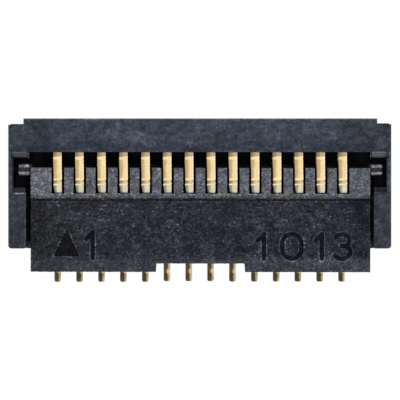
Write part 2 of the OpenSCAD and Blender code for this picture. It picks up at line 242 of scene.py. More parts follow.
def contactMesh(name, x0, seed, tailTrim):
    # four beams that run into each other in the rear bar: base with tail, hook, spring, and the upright web
    c = contactShape
    rng = np.random.default_rng(seed)
    floorFront = housingLow[1]
    baseHigh, rootZ = c["baseLow"] + c["baseThick"], topZ - 0.17
    hookLow = axisZ + c["seat"]
    hookHigh = hookLow + c["hookThick"]
    shells = []
    # base beam and tail: low(y) and high(y) step down in an S-curve ahead of the floor
    end = tailY + tailTrim
    y = steps((end, end + 0.05, 7), (end + 0.05, tailY + 0.18, 3), (tailY + 0.18, tailY + 0.48, 16),
              (tailY + 0.5, barY + 0.6, 30))
    drop = smoothStep(tailY + 0.2, tailY + 0.42, y)
    nose = edgeDrop(y - end, 0.05)
    high = c["tailThick"] + drop * (baseHigh - c["tailThick"]) - nose * 0.9
    low = drop * c["baseLow"] + nose * 0.5
    widening = smoothStep(floorFront - 0.06, floorFront + 0.02, y)
    half = c["tailWidth"] / 2 + (c["width"] - c["tailWidth"]) / 2 * widening
    half = half - nose * 0.7
    atBend = np.exp(-((y - tailY - 0.25) / 0.045) ** 2)
    torn = c["tailTornDrop"] * (1 - smoothStep(floorFront - 0.1, floorFront, y)) * (1 - 0.55 * atBend)
    shells.append(beam(y, low, high, half, torn, c["edge"]))
    # hook: rises out of the bar, runs level over the shaft, then a shallow groove, a lip and a falling nose
    tip = axisY - c["hookReach"]
    y = steps((tip, tip + 0.024, 9), (tip + 0.024, axisY - 0.37, 8), (axisY - 0.37, axisY - 0.2, 27),
              (axisY - 0.2, axisY + 0.24, 32), (axisY + 0.24, barY - 0.17, 4), (barY - 0.17, barY, 34),
              (barY, barY + 0.05, 6), (barY + 0.05, barY + 0.3, 5))
    high = np.interp(y, [tip, tip + 0.012, axisY - 0.365, axisY - 0.34, axisY - 0.322, axisY - 0.308,
                         axisY - 0.29, axisY - 0.27, axisY - 0.254, axisY - 0.23, axisY - 0.2, barY - 0.17,
                         barY - 0.14, barY - 0.115, barY - 0.075, barY + 0.012, barY + 0.03, barY + 0.3],
                     hookHigh + np.array([-0.072, -0.052, -0.008, -0.001, -0.003, -0.02,
                                          -0.024, -0.018, -0.002, 0.002, -0.002, -0.002,
                                          0.002, -0.001, -0.012, -0.016, -0.095, -0.117]))
    seatArc = axisZ + np.sqrt(np.clip(c["seat"] ** 2 - (y - axisY) ** 2, 0, None))
    low = np.interp(y, [tip, tip + 0.02, axisY - 0.31, axisY - 0.225, axisY - 0.157,
                        axisY + 0.157, axisY + 0.2, axisY + 0.247, barY + 0.02, barY + 0.3],
                    [hookHigh - 0.15, hookHigh - 0.17, hookHigh - 0.16, axisZ + 0.02, axisZ + 0.002,
                     axisZ + 0.03, axisZ + 0.055, hookLow - 0.05, rootZ - 0.17, rootZ - 0.17])
    low = np.where(abs(y - axisY) < c["seat"], np.maximum(seatArc, axisZ), low)
    nose = 1 - smoothStep(tip, axisY - 0.34, y)
    lip = np.exp(-((y - axisY + 0.342) / 0.014) ** 2)
    half = c["width"] / 2 * (0.985 - 0.07 * nose) - edgeDrop(y - tip, 0.012) * 0.5 + 0.004 * lip
    torn = np.full(len(y), c["tornDrop"]) + 0.008 * nose
    slant = c["slant"] * (1 - nose) * smoothStep(barY + 0.02, barY - 0.04, y)
    hook = beam(y, low, high, half, torn, c["edge"], slant)
    hookY = hook[0][:, 1]
    lipShift = 0.004 * np.exp(-((hookY - axisY + 0.342) / 0.014) ** 2)
    hook[0][:, 0] += 0.007 * (1 - smoothStep(tip + 0.1, axisY - 0.35, hookY)) - lipShift
    hook[0][:, 0] += c["hookShift"] + c["hookLean"] * smoothStep(axisY + 0.25, axisY - 0.25, hookY)
    shells.append(hook)
    # spring beam with its bump, under the cable
    y = steps((axisY - 1.16, axisY - 0.8, 26), (axisY - 0.8, barY + 0.25, 14))
    base = c["baseLow"]
    high = np.interp(y, axisY + np.array([-1.16, -1.12, -1.01, -0.97, -0.93, -0.85, -0.5, 0.55]),
                     base + np.array([0.235, 0.26, 0.36, 0.37, 0.36, 0.3, 0.29, 0.31]))
    low = np.interp(y, axisY + np.array([-1.16, -1.13, -0.95, -0.5, 0.5]),
                    base + np.array([0.225, 0.2, 0.23, 0.195, 0.19]))
    shells.append(beam(y, low, high, np.full(len(y), c["width"] / 2), np.full(len(y), 0.012), 0.01))
    # upright web inside the bar
    y = edged(barY + 0.18, rearY - 0.12, 0.03, 5)
    high = rootZ - edgeDrop(rearY - 0.12 - y, 0.03)
    shells.append(beam(y, np.full(len(y), base), high, np.full(len(y), c["width"] / 2), np.full(len(y), 0.0), 0.01))
    sway = rng.normal(0, c["sway"], 2)
    return joined(name, [(p + np.array([x0 + sway[0], 0, 0]), q) for p, q in shells])


contacts = []
for i, (node, x0) in enumerate(zip(contactNodes, contactX)):
    trim = contactShape["trimFirst"] if i < 5 else contactShape["trimNotch"] if i < 8 else 0.0
    piece = contactMesh("goldContact%02d" % (i + 1), x0, contactShape["seed"] + i, trim)
    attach(piece, "base")
    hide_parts(node)
    contacts.append(piece)
print("contacts made:", len(contacts))


leverShape = {
    "stripDrop": 0.03, "slotWidth": 0.286, "heel": 0.036, "grooveDepth": 0.055, "grooveWidth": 0.044,
    "play": 0.016,          # the lever rests this much to the right of the middle
    "lean": -0.0015,        # and turned by this slope in plan
    "reachOver": 0.022,     # moulded a little long at the free edge
    "notchHalf": 1.0086, "notchDepth": 0.192, "edge": 0.022, "markDepth": 0.04, "strokeHalf": 0.041,
    "padFront": 1.29, "padRear": 0.72, "padSlope": 0.06, "padLevel": 0.72, "leadLength": 0.16, "leadRise": 0.16,
    "undercut": 0.045,      # room for the hook noses, measured forward from the closed end of a slot
    "ragged": 0.003,        # depth of the waves along the notch and the free edge
    "toothEdge": 0.014, "shaftRadius": 0.127,
}


def arc(cx, cy, rx, ry, start, end, count=15):
    # points on an ellipse from one angle to another, in degrees
    a = np.radians(np.linspace(start, end, count))
    return np.stack([cx + rx * np.cos(a), cy + ry * np.sin(a)], -1)


# contact numbers beside the first, tenth and thirteenth contact, drawn in a box one unit wide and high
digits = {
    "1": [np.array([(0.0, 0.74), (0.6, 1.0), (0.6, 0.0)])],
    "0": [np.concatenate([arc(0.5, 0.62, 0.5, 0.38, 0, 180), arc(0.5, 0.38, 0.5, 0.38, 180, 360), [(1.0, 0.62)]])],
    "3": [arc(0.46, 0.755, 0.44, 0.245, 150, -90), arc(0.46, 0.265, 0.5, 0.265, 90, -150)],
}
# each mark: digit, left, foot, width and height in millimetres
marks = [("1", -2.6, -1.32, 0.24, 0.59), ("1", 1.3, -1.33, 0.24, 0.56), ("0", 1.86, -1.33, 0.44, 0.56),
         ("1", 2.62, -1.33, 0.24, 0.56), ("3", 3.05, -1.33, 0.38, 0.56)]
triangle = np.array([(-3.34, -1.278), (-2.765, -1.278), (-3.05, -0.665)])   # points at the first contact


def strokeDistance(x, y):
    # distance from each (x, y) to the nearest stroke: to the segment a-b it is |p - a - clamp(t) (b - a)|
    nearest = np.full(x.shape, 9.0)
    for digit, left, foot, width, height in marks:
        near = (abs(x - left - width / 2) < width / 2 + 0.15) & (abs(y - foot - height / 2) < height / 2 + 0.15)
        px, py, best = x[near], y[near], nearest[near]
        for line in digits[digit]:
            ends = line * (width, height) + (left, foot)
            for (ax, ay), (bx, by) in zip(ends[:-1], ends[1:]):
                square = (bx - ax) ** 2 + (by - ay) ** 2 + 1e-9
                t = np.clip(((px - ax) * (bx - ax) + (py - ay) * (by - ay)) / square, 0, 1)
                best = np.minimum(best, np.hypot(px - ax - t * (bx - ax), py - ay - t * (by - ay)))
        nearest[near] = best
    return nearest


def insideTriangle(x, y):
    # signed depth inside the triangle: the least of the three distances to its sides
    depth = np.full(x.shape, 9.0)
    for k in range(3):
        a, b = triangle[k], triangle[(k + 1) % 3]
        edgeX, edgeY = (b - a) / np.hypot(*(b - a))
        depth = np.minimum(depth, edgeX * (y - a[1]) - edgeY * (x - a[0]))
    return depth


def leverMesh(name):
    c = leverShape
    half = layout["leverHalf"]
    freeY = leverLow[1] - c["reachOver"]
    notch = c["notchHalf"]
    # the stations across are closest where a mark lies, and at both ends of the notch
    x = steps((-half, -half + c["edge"], 6), (-half + c["edge"], -3.42, 9), (-3.42, -2.7, 52), (-2.7, -2.25, 33),
              (-2.25, -notch - 0.05, 16), (-notch - 0.05, -notch + 0.05, 15), (-notch + 0.05, notch - 0.05, 26),
              (notch - 0.05, notch + 0.05, 15), (notch + 0.05, 1.2, 4), (1.2, 1.52, 24), (1.52, 1.78, 6),
              (1.78, 2.38, 42), (2.38, 2.55, 4), (2.55, 2.85, 22), (2.85, 2.98, 3), (2.98, 3.5, 38),
              (3.5, half - c["edge"], 8), (half - c["edge"], half, 6))
    slotSides = [x0 + s * c["slotWidth"] / 2 + e for x0 in contactX for s in (-1, 1) for e in (-0.004, 0.004)]
    x = np.unique(np.round(np.concatenate([x, slotSides]), 6))
    y = steps((freeY, freeY + c["edge"], 6), (freeY + c["edge"], -1.4, 8), (-1.4, -0.6, 58),
              (-0.6, stripEdge - 0.1, 8), (stripEdge - 0.1, stripEdge + 0.03, 24),
              (stripEdge + 0.03, slotY - 0.012, 9), (slotY - 0.012, slotY, 5))
    gx, gy = np.meshgrid(x, y, indexing="ij")
    # the notch: near the free edge every y is pushed in, by notchDepth inside the notch and 0 outside it
    # ragged adds two products of sines in x, one coarse and one fine
    ragged = c["ragged"] * np.sin(gx * 47.3) * np.sin(gx * 19.1 + 1)
    ragged = ragged + c["ragged"] * np.sin(gx * 97.7 + 2) * np.sin(gx * 7.9)
    inNotch = smoothStep(-notch - 0.005, -notch + 0.005, gx) * (1 - smoothStep(notch - 0.005, notch + 0.005, gx))
    push = inNotch * c["notchDepth"] + ragged
    py = gy + push * np.clip((gy + 1.36) / (freeY + 1.36), 0, 1)
    fromFree = gy - freeY
    fromSide = half - abs(gx)
    # top: strip level behind the groove, plate level in front, rounded borders, and the marks pressed in
    strip = smoothStep(stripEdge - 0.012, stripEdge - 0.002, gy)
    top = topZ - 0.004 - c["stripDrop"] * strip
    groove = smoothStep(stripEdge - c["grooveWidth"] - 0.008, stripEdge - c["grooveWidth"], gy)
    groove = groove * (1 - smoothStep(stripEdge - 0.008, stripEdge, gy))
    top = top - c["grooveDepth"] * groove - 0.014 * smoothStep(stripEdge + 0.045, stripEdge, gy) * strip
    top = top - 0.01 * np.exp(-((gy - stripEdge + c["grooveWidth"] + 0.01) / 0.012) ** 2)
    strokes, inner = strokeDistance(gx, gy), insideTriangle(gx, gy)
    inStroke = smoothStep(c["strokeHalf"] + 0.01, c["strokeHalf"] - 0.01, strokes)
    sunk = np.maximum(inStroke, smoothStep(-0.008, 0.014, inner))
    strokeRim = np.exp(-((strokes - c["strokeHalf"] - 0.02) / 0.011) ** 2)
    rim = np.clip(strokeRim + np.exp(-((inner + 0.018) / 0.011) ** 2), 0, 1)
    top = top - c["markDepth"] * sunk + 0.004 * rim
    inSlot = np.zeros_like(gx)
    for x0 in contactX:
        inSlot = np.maximum(inSlot, (abs(gx - x0) < c["slotWidth"] / 2).astype(float))
    top = top - edgeDrop(fromFree, c["edge"]) - edgeDrop(fromSide, c["edge"]) - edgeDrop(slotY - gy, 0.012) * inSlot
    # underside: lead-in under the free edge, level, press pad, and a rise to the hinge
    padFront, padRear = axisY - c["padFront"], axisY - c["padRear"]
    low = np.interp(gy, [freeY, freeY + c["leadLength"], padFront - c["padSlope"], padFront, padRear,
                         padRear + 1.6 * c["padSlope"], slotY],
                    c["padLevel"] + np.array([c["padSlope"] + c["leadRise"], c["padSlope"], c["padSlope"],
                                              0.005, 0.005, 0.05, 0.05]))
    low = np.where((fromSide < 0.05) & (gy < axisY - 0.75), np.maximum(low, c["padLevel"] + 0.12), low)
    low = np.where((inSlot > 0) & (gy > slotY - c["undercut"]), np.maximum(low, topZ - 0.13), low)
    low = low + edgeDrop(fromSide, 0.015) + edgeDrop(fromFree, 0.02)
    shells = [slab(gx, py, top, low)]
    # teeth between the slots, and the wide one at each end
    edges = [-half] + [e for x0 in contactX for e in (x0 - c["slotWidth"] / 2, x0 + c["slotWidth"] / 2)] + [half]
    heelY = axisY + c["heel"]
    roundHeel = heelY - 0.02 + 0.02 * np.array([0, 0.6, 0.84, 0.96, 1])
    along = np.concatenate([np.linspace(slotY, heelY - 0.02, 8)[:-1], roundHeel])
    for a, b in zip(edges[0::2], edges[1::2]):
        tx, ty = np.meshgrid(edged(a, b, c["toothEdge"], 6), along, indexing="ij")
        d = np.minimum(tx - a, b - tx)
        tTop = topZ - c["stripDrop"] - 0.004 - edgeDrop(d, c["toothEdge"]) - edgeDrop(heelY - ty, 0.02)
        tLow = np.interp(ty, [slotY, axisY - 0.02, heelY],
                         [c["padLevel"] + 0.05, c["padLevel"] + 0.05, axisZ - 0.08]) + edgeDrop(d, 0.01)
        shells.append(slab(tx, ty, tTop, tLow))
    placed = []
    for p, q in shells:
        shift = np.stack([np.full(len(p), c["play"]), c["lean"] * p[:, 0], np.zeros(len(p))], -1)
        placed.append((p + shift, q))
    piece = joined(name, placed)
    # how deep a mark is sunk (0..1), and its raised rim (0..1), which the finish gives a painted highlight
    for key, values in (("sunk", sunk), ("rim", rim * (1 - sunk))):
        column = np.zeros(len(piece.data.vertices), np.float32)
        column[:values.size] = values.ravel()
        piece.data.attributes.new(key, "FLOAT", "POINT").data.foreach_set("value", column)
    return piece


def shaftMesh(name):
    # the hinge shaft: a circle carried along X, drawn in at both noses
    c, half = leverShape, layout["leverHalf"] - 0.02
    angle = np.linspace(0, 2 * math.pi, 64, endpoint=False)
    section = c["shaftRadius"] * np.stack([np.cos(angle), np.sin(angle)], -1)
    end = leverHigh[0]
    x = np.concatenate([[-end, -end + 0.006, -end + 0.03, -end + 0.034], np.linspace(-end + 0.08, end - 0.08, 60),
                        [end - 0.034, end - 0.03, end - 0.006, end]])
    scale = np.interp(end - abs(x), [0, 0.006, 0.03, 0.036], [0.72, 0.8, 0.985, 1])
    path = np.stack([x + c["play"], np.full(len(x), axisY), np.full(len(x), axisZ)], -1)
    points, faces = carried(path, section, scale)
    piece = putMesh(name, points, faces)
    # 1 on the pivots, past the lever's teeth
    onPivot = (abs(points[:, 0]) > half).astype(np.float32)
    piece.data.attributes.new("pivot", "FLOAT", "POINT").data.foreach_set("value", onPivot)
    return piece


lever = leverMesh("lockingLever")
print("lever faces:", len(lever.data.polygons))
leverShaft = shaftMesh("leverShaft")
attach(lever, "lever")
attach(leverShaft, "lever")
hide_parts("actuator")
print("lever made")


housingShape = {
    "edge": 0.012, "segments": 2,
    "endCut": 4.1,                                  # the outer cuts of the copy lie this far from the middle
    "barLongRight": 0.02, "barLongLeft": 0.006,     # how much longer the bar is moulded at each end
    "armBack": 0.015,                               # the right arm's rear end stands this much further back
    "slotGrip": 0.0215,                             # the fitting slot's rear wall comes this far in, to grip the tab
    "pocketDraft": 0.1, "armDraft": 0.03, "armLeft": 0.01,
}
slotMiddles = [(i - 6.5) * pitch for i in range(14)]
housingCuts = [-housingShape["endCut"]] + slotMiddles + [housingShape["endCut"]]
housing = bevelledCopy("housing", "housingMoulding", housingShape["edge"], housingShape["segments"], housingCuts)


def settle(piece):
    # small moulding differences, and core draft: the pocket's outer wall and the arm's inner wall each lean in
    # by their draft times the depth below the top
    c = housingShape
    flat = np.empty(len(piece.data.vertices) * 3, np.float32)
    piece.data.vertices.foreach_get("co", flat)
    p = flat.reshape(-1, 3)
    x, y, z = p[:, 0] / mm, p[:, 1] / mm, p[:, 2] / mm
    side = np.sign(x)
    p[:, 0] += (x > 3.99) * (x < 4.06) * (y > 1.70) * c["barLongRight"] * mm
    p[:, 1] += (x > 3.9) * (y > 1.68) * (y < 1.80) * c["armBack"] * mm
    p[:, 0] += (x < -3.99) * (x > -4.06) * (y > 1.70) * c["barLongLeft"] * mm
    p[:, 1] -= (abs(x) > 3.89) * (abs(x) < 4.32) * (y > 1.125) * (y < 1.156) * c["slotGrip"] * mm
    wall = (abs(x) > 4.266) * (abs(x) < 4.2835) * (y > axisY - 0.56) * (y < axisY + 0.275) * (z > 0.45)
    p[:, 0] -= side * wall * c["pocketDraft"] * (topZ - z) * mm
    inner = (abs(x) > 3.966) * (abs(x) < 3.9835) * (y < axisY - 0.54)
    p[:, 0] -= side * inner * (c["armDraft"] * np.clip(topZ - z, 0, 1) + c["armLeft"] * (x < 0)) * mm
    piece.data.vertices.foreach_set("co", p.ravel())
    piece.data.update()


settle(housing)
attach(housing, "base")
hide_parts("housing")

fittingShape = {
    "edge": 0.006, "segments": 2, "sheet": 0.148, "slotIn": 3.907,
    "barb": 0.0098, "barbLow": 0.42, "barbHigh": 0.82, "barbEdge": 0.01,
    "rearPress": 0.0115, "outerPress": 0.0095,      # the sheet gives way this much where its slot presses on it
}
fittings = []


def barbs(node):
    # a press-fit swelling low on the upright tab, which fills its slot all round
    low, high = boxOf(node)
    c = fittingShape
    g, r = c["barb"], c["barbEdge"]
    tabLow = high[1] - c["sheet"]
    left, right = (low[0] - g, -c["slotIn"]) if low[0] < 0 else (c["slotIn"], high[0] + g)
    rear = high[1] - c["rearPress"]
    gx, gy = np.meshgrid(edged(left, right, r, 4), edged(tabLow - 2 * g, rear, r, 4), indexing="ij")
    d = np.minimum(np.minimum(gx - left, right - gx), np.minimum(gy - tabLow + 2 * g, rear - gy))
    return slab(gx, gy, c["barbHigh"] - edgeDrop(d, r), c["barbLow"] + edgeDrop(d, r))


def withShell(piece, shell):
    # adds one more closed shell to a finished mesh
    extra = putMesh(piece.name + "Extra", shell[0], [shell[1]])
    bm = bmesh.new()
    bm.from_mesh(piece.data)
    bm.from_mesh(extra.data)
    bm.to_mesh(piece.data)
    bm.free()
    bpy.data.objects.remove(extra)


def seated(piece):
    # the sheared top keeps its full height up to the rear face, and the slot presses on the sheet at the rear and
    # the outer side
    flat = np.empty(len(piece.data.vertices) * 3, np.float32)
    piece.data.vertices.foreach_get("co", flat)
    p = flat.reshape(-1, 3)
    x, y, z = p[:, 0] / mm, p[:, 1] / mm, p[:, 2] / mm
    top, rear, outer = z.max(), y.max(), abs(x).max()
    shoulder = (z > top - 0.07) * (z < top - 0.015) * (y > rear - 0.045)
    p[:, 2] += shoulder * (top - 0.003 - z) * mm
    p[:, 1] -= (y > rear - 0.012) * fittingShape["rearPress"] * mm
    p[:, 0] += np.sign(x) * (abs(x) > outer - 0.012) * (y > rear - 0.16) * fittingShape["outerPress"] * mm
    piece.data.vertices.foreach_set("co", p.ravel())
    piece.data.update()


for node, name in (("fitting_left", "holdDownLeft"), ("fitting_right", "holdDownRight")):
    piece = bevelledCopy(node, name, fittingShape["edge"], fittingShape["segments"])
    seated(piece)
    withShell(piece, barbs(node))
    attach(piece, "base")
    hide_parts(node)
    fittings.append(piece)
print("housing and hold-downs made")


class Value:
    # wraps a socket, so that shader sums are written as plain Python
    def __init__(self, book, socket):
        self.book, self.socket = book, socket

    def maths(self, operation, *others):
        return self.book.node("ShaderNodeMath", {"operation": operation}, dict(enumerate((self,) + others)))[0]

    def __add__(self, o): return self.maths("ADD", o)
    def __sub__(self, o): return self.maths("SUBTRACT", o)
    def __rsub__(self, o): return (self * -1) + o
    def __mul__(self, o): return self.maths("MULTIPLY", o)
    def __truediv__(self, o): return self.maths("DIVIDE", o)
    def __abs__(self): return self.maths("ABSOLUTE")

    def clamped(self, low=0.0, high=1.0):
        return self.book.node("ShaderNodeClamp", {}, {0: self, 1: low, 2: high})[0]

    def between(self, low, high):
        # 0 at low, 1 at high, smooth between them; low may be the larger
        a, b, start, end = (low, high, 0.0, 1.0) if low < high else (high, low, 1.0, 0.0)
        sockets = {0: self, 1: a, 2: b, 3: start, 4: end}
        return self.book.node("ShaderNodeMapRange", {"interpolation_type": "SMOOTHSTEP"}, sockets)[0]


class Book:
    # the nodes of one material, or of the world
    def __init__(self, owner):
        self.owner = owner
        owner.use_nodes = True
        self.tree = owner.node_tree
        self.tree.nodes.clear()
        self.place = 0

    def node(self, kind, settings, sockets):
        n = self.tree.nodes.new(kind)
        n.location = (self.place * 40 % 2400, -(self.place * 40 // 2400) * 260)
        self.place += 1
        for key, value in settings.items():
            setattr(n, key, value)
        for key, value in sockets.items():
            if isinstance(value, Value):
                self.tree.links.new(value.socket, n.inputs[key])
            else:
                n.inputs[key].default_value = value
        return [Value(self, s) for s in n.outputs]

    def position(self):
        # object coordinates in millimetres, as a vector and its three parts
        spot = self.node("ShaderNodeTexCoord", {}, {})[3]
        spot = self.node("ShaderNodeVectorMath", {"operation": "SCALE"}, {0: spot, "Scale": 1 / mm})[0]
        return [spot] + self.node("ShaderNodeSeparateXYZ", {}, {0: spot})

    def noise(self, spot, scale, detail=3, roughness=0.5, stretch=None, turn=0.0, twist=0.0):
        # cloudy noise centred on 0, about -0.5..0.5; stretch and turn lay it along a direction
        if stretch or turn:
            laid = {0: spot, "Rotation": (0, 0, turn), "Scale": stretch or (1, 1, 1)}
            spot = self.node("ShaderNodeMapping", {}, laid)[0]
        sockets = {0: spot, "Scale": scale, "Detail": detail, "Roughness": roughness, "Distortion": twist}
        return self.node("ShaderNodeTexNoise", {}, sockets)[0] - 0.5

    def band(self, value, low, high, soft=0.006):
        # 1 between low and high, 0 outside, with soft edges
        return value.between(low - soft, low + soft) * value.between(high + soft, high - soft)

    def attribute(self, name):
        return self.node("ShaderNodeAttribute", {"attribute_name": name, "attribute_type": "GEOMETRY"}, {})[2]

    def blend(self, factor, a, b):
        # colour a where the factor is 0, colour b where it is 1
        a, b = (v if isinstance(v, Value) else (*v, 1) for v in (a, b))
        return self.node("ShaderNodeMix", {"data_type": "RGBA"}, {0: factor, 6: a, 7: b})[2]

    def brighten(self, colour, factor):
        # colour times a number, kept a colour
        return self.node("ShaderNodeVectorMath", {"operation": "SCALE"}, {0: colour, "Scale": factor})[0]

    def finish(self, colour, roughness, height, bumpSize, fixed):
        # height times bumpSize is the relief in metres; fixed holds what doesn't vary over the piece
        normal = self.node("ShaderNodeBump", {}, {"Strength": 1.0, "Distance": bumpSize, "Height": height})[0]
        inputs = {"Base Color": colour, "Roughness": roughness, "Normal": normal, **fixed}
        shader = self.node("ShaderNodeBsdfPrincipled", {}, inputs)[0]
        self.node("ShaderNodeOutputMaterial", {}, {0: shader})
        return self.owner


def glassFilledPlastic(name, look, finishing):
    # dark moulded resin: cloudy patches, mottling, a spark-eroded grain, short pale fibres, thin scuffs and bright
    # specks; they add up to one tone, and the colour is multiplied by e to the power of that tone
    b = Book(bpy.data.materials.new(name))
    spot, x, y, z = b.position()
    cloud = b.noise(spot, look["cloudScale"], 3, 0.55, twist=1.2)
    mottle = b.noise(spot, look["mottleScale"], 4, 0.6)
    grain = b.noise(spot, look["grainScale"], 3, 0.65)
    smear = b.noise(spot, 3.2, 3, 0.6, (1.0, 3.2, 1.0), look["smearTurn"])
    fibres = b.noise(spot, 10, 2, 0.5, (1.0, 5.0, 1.0), 0.5).between(0.13, 0.24)
    fibres = fibres + b.noise(spot, 10, 2, 0.5, (5.0, 1.0, 1.0), -0.35).between(0.13, 0.24)
    thin = 1 - (abs(b.noise(spot, 6.5, 3, 0.55, twist=0.6)) * 26).clamped()
    scuffs = thin * b.noise(spot, 2.1, 2).between(0.02, 0.14)
    specks = b.noise(spot, look["speckScale"], 1).between(0.19, 0.27)
    tone = cloud * look["cloudDepth"] + mottle * look["mottleDepth"] + grain * look["grainDepth"]
    tone = tone + smear * look["smearDepth"]
    tone = tone + fibres * look["fibreDepth"] + scuffs * look["scuffDepth"] + specks * look["speckDepth"] - look["rest"]
    colour = b.blend(b.noise(spot, 1.5, 2).between(-0.14, 0.14), look["cool"], look["warm"])
    colour = b.blend(b.noise(spot, 1.9, 2, twist=0.5).between(-0.02, 0.16), colour, look["greenish"])
    colour = b.blend(tone.between(0.0, 0.9) * 0.75, colour, look["pale"])    # pale grains are nearly grey
    colour, tone, height, rough = finishing(b, look, spot, x, y, z, colour, tone)
    colour = b.brighten(colour, tone.maths("EXPONENT").clamped(0.01, 25.0))
    height = height + mottle * 0.8 + grain * 1.2 + fibres * 0.4
    rough = (mottle * 0.25 + rough).clamped(0.2, 0.95)
    return b.finish(colour, rough, height, look["bumpSize"], {"Specular IOR Level": look["specular"]})


housingLook = {
    "cool": (0.0545, 0.0650, 0.0935), "warm": (0.0582, 0.0655, 0.0888), "greenish": (0.0540, 0.0680, 0.0900),
    "pale": (0.0600, 0.0655, 0.0830),
    "armTint": (0.0570, 0.0635, 0.0830),
    "cloudScale": 2.4, "cloudDepth": 1.9, "mottleScale": 9, "mottleDepth": 1.8, "grainScale": 20, "grainDepth": 2.3,
    "smearDepth": 1.4, "smearTurn": 0.6, "fibreDepth": 0.2, "scuffDepth": 0.35, "speckScale": 21, "speckDepth": 0.5,
    "rest": -0.05,
    # edge is the colour of the painted highlight along the bar's rear edge
    "roughness": 0.6, "bumpSize": 6e-6, "specular": 0.08, "inside": 2.4, "edge": (0.128, 0.103, 0.093),
    # how much paler the painted highlights on edges and walls are, and the paler band along the left rail; how much
    # darker the arms and the bar's front and ends, and how deep the painted shade on the low guide steps is
    "wall": 0.36, "leftLine": 0.32, "innerEdge": 0.22, "outerEdge": 0.2, "besideTab": 0.45, "barLine": 0.22,
    "parting": 0.24, "armDark": 0.22, "armDarkLeft": 0.2, "barFall": 0.3, "barEnds": 0.34, "guides": 0.6,
}
leverLook = {
    "cool": (0.0243, 0.0285, 0.0405), "warm": (0.0270, 0.0285, 0.0368), "greenish": (0.0243, 0.0300, 0.0378),
    "pale": (0.0282, 0.0288, 0.0335),
    "cloudScale": 2.8, "cloudDepth": 3.0, "mottleScale": 10, "mottleDepth": 3.4, "grainScale": 21, "grainDepth": 5.5,
    "smearDepth": 1.5, "smearTurn": -0.5, "fibreDepth": 0.22, "scuffDepth": 0.55, "speckScale": 21, "speckDepth": 0.8,
    "rest": 0.0, "roughness": 0.58, "bumpSize": 8e-6, "specular": 0.08,
    "strip": (0.146, 0.160, 0.196), "stripWarm": (0.156, 0.160, 0.182), "stripGrain": 4.4,
    "pivot": (0.0285, 0.0290, 0.0320), "brownish": (0.0275, 0.0285, 0.0345),
}


def housingFinish(b, look, spot, x, y, z, colour, tone):
    # painted shade makes the cavities near black, and they are smoother from the core pins; painted highlights make
    # outer edges and lines paler.
    # returns the colour, the tone, the height that is added for the bump, and the roughness
    across = abs(x)
    front = y.between(axisY - 0.55, axisY - 0.6)    # 1 along the free part of the arms
    reach = layout["armIn"] + 0.012 - front * 0.05
    row = (across - reach).between(0.0, -0.008) * z.between(topZ - 0.03, topZ - 0.1)
    row = row * y.between(rearY - 0.06, rearY - 0.1)
    row = row * y.between(housingLow[1] + 0.005, housingLow[1] + 0.03)
    pocket = across.between(4.262, 4.235) * b.band(y, axisY - 0.56, axisY + 0.43, 0.01)
    pocket = pocket * z.between(topZ - 0.2, topZ - 0.3)
    # painted shade: the channels between the arms and the deep pockets are darkened, and also made smoother
    inside = row.maths("MAXIMUM", pocket) * z.between(0.06, 0.12)
    speckleNoise = b.noise(spot, 30, 3, 0.7)
    # painted highlight along the bar's rear top edge, tinted with the edge colour
    rearEdgeHighlight = y.between(rearY - 0.036, rearY - 0.02) * z.between(topZ - 0.06, topZ - 0.03)
    rearEdgeHighlight = rearEdgeHighlight * across.between(4.06, 4.02)
    # painted highlight: the pockets' front lip is lit whitish and speckled, more on the left
    lip = b.band(y, axisY - 0.565, axisY - 0.53, 0.006) * b.band(across, 3.95, 4.27, 0.01)
    lip = lip * z.between(topZ - 0.12, topZ - 0.07)
    arms = across.between(3.9, 3.95) * y.between(barY + 0.04, barY - 0.02)
    # painted highlights: the top of each pocket's thin outer wall, the inner and outer edges of the arms, the wall
    # beside the left tab, the bar's front edge, and the mould's split line where the left arm meets the bar
    wall = across.between(4.262, 4.275) * b.band(y, axisY - 0.5, axisY + 0.4, 0.02)
    leftLine = b.band(x, -4.245, -4.215, 0.012) * y.between(0.08, 0.0)
    innerEdge = b.band(x, -4.0, -3.965, 0.01) * front
    besideTab = b.band(y, axisY + 0.25, axisY + 0.42, 0.01) * x.between(-4.28, -4.3)
    nearTop = z.between(topZ - 0.12, topZ - 0.05)
    parting = b.band(x, -4.045, -4.005, 0.014) * y.between(barY + 0.04, barY + 0.08) * nearTop
    barLine = y.between(barY + 0.045, barY + 0.015) * nearTop * across.between(3.9, 3.86)
    outerEdge = across.between(4.30, 4.35) * z.between(topZ - 0.12, topZ - 0.06)
    barFall = y.between(barY + 0.34, barY + 0.02) * z.between(topZ - 0.05, topZ - 0.02)
    barFall = barFall * across.between(3.98, 3.94)
    barEnds = across.between(3.1, 3.6) * y.between(barY, barY + 0.02)
    # painted shade on the low guide steps in the gap under the lever's sides
    guides = b.band(across, 3.7, 3.97, 0.01) * y.between(housingLow[1] + 1.0, housingLow[1] + 0.9)
    guides = guides * z.between(0.3, 0.34) * z.between(0.9, 0.8)
    colour = b.blend(arms * 0.7, colour, look["armTint"])
    colour = b.blend(rearEdgeHighlight, colour, look["edge"])
    onLeft = x.between(0.5, -0.5)
    tone = tone + rearEdgeHighlight * (speckleNoise * 0.8 + 0.1)
    tone = tone + lip * onLeft * (speckleNoise * 4.5 + b.band(x, -4.22, -4.0, 0.05) * 1.1 + 0.75)
    tone = tone + wall * look["wall"] + leftLine * look["leftLine"] + innerEdge * look["innerEdge"]
    tone = tone + outerEdge * look["outerEdge"] + besideTab * look["besideTab"] + barLine * look["barLine"]
    tone = tone + parting * look["parting"] - arms * (onLeft * look["armDarkLeft"] + look["armDark"])
    tone = tone - barFall * look["barFall"] - barEnds * look["barEnds"] - guides * look["guides"]
    return colour, tone - inside * look["inside"], speckleNoise * lip * 1.5, look["roughness"] - inside * 0.2


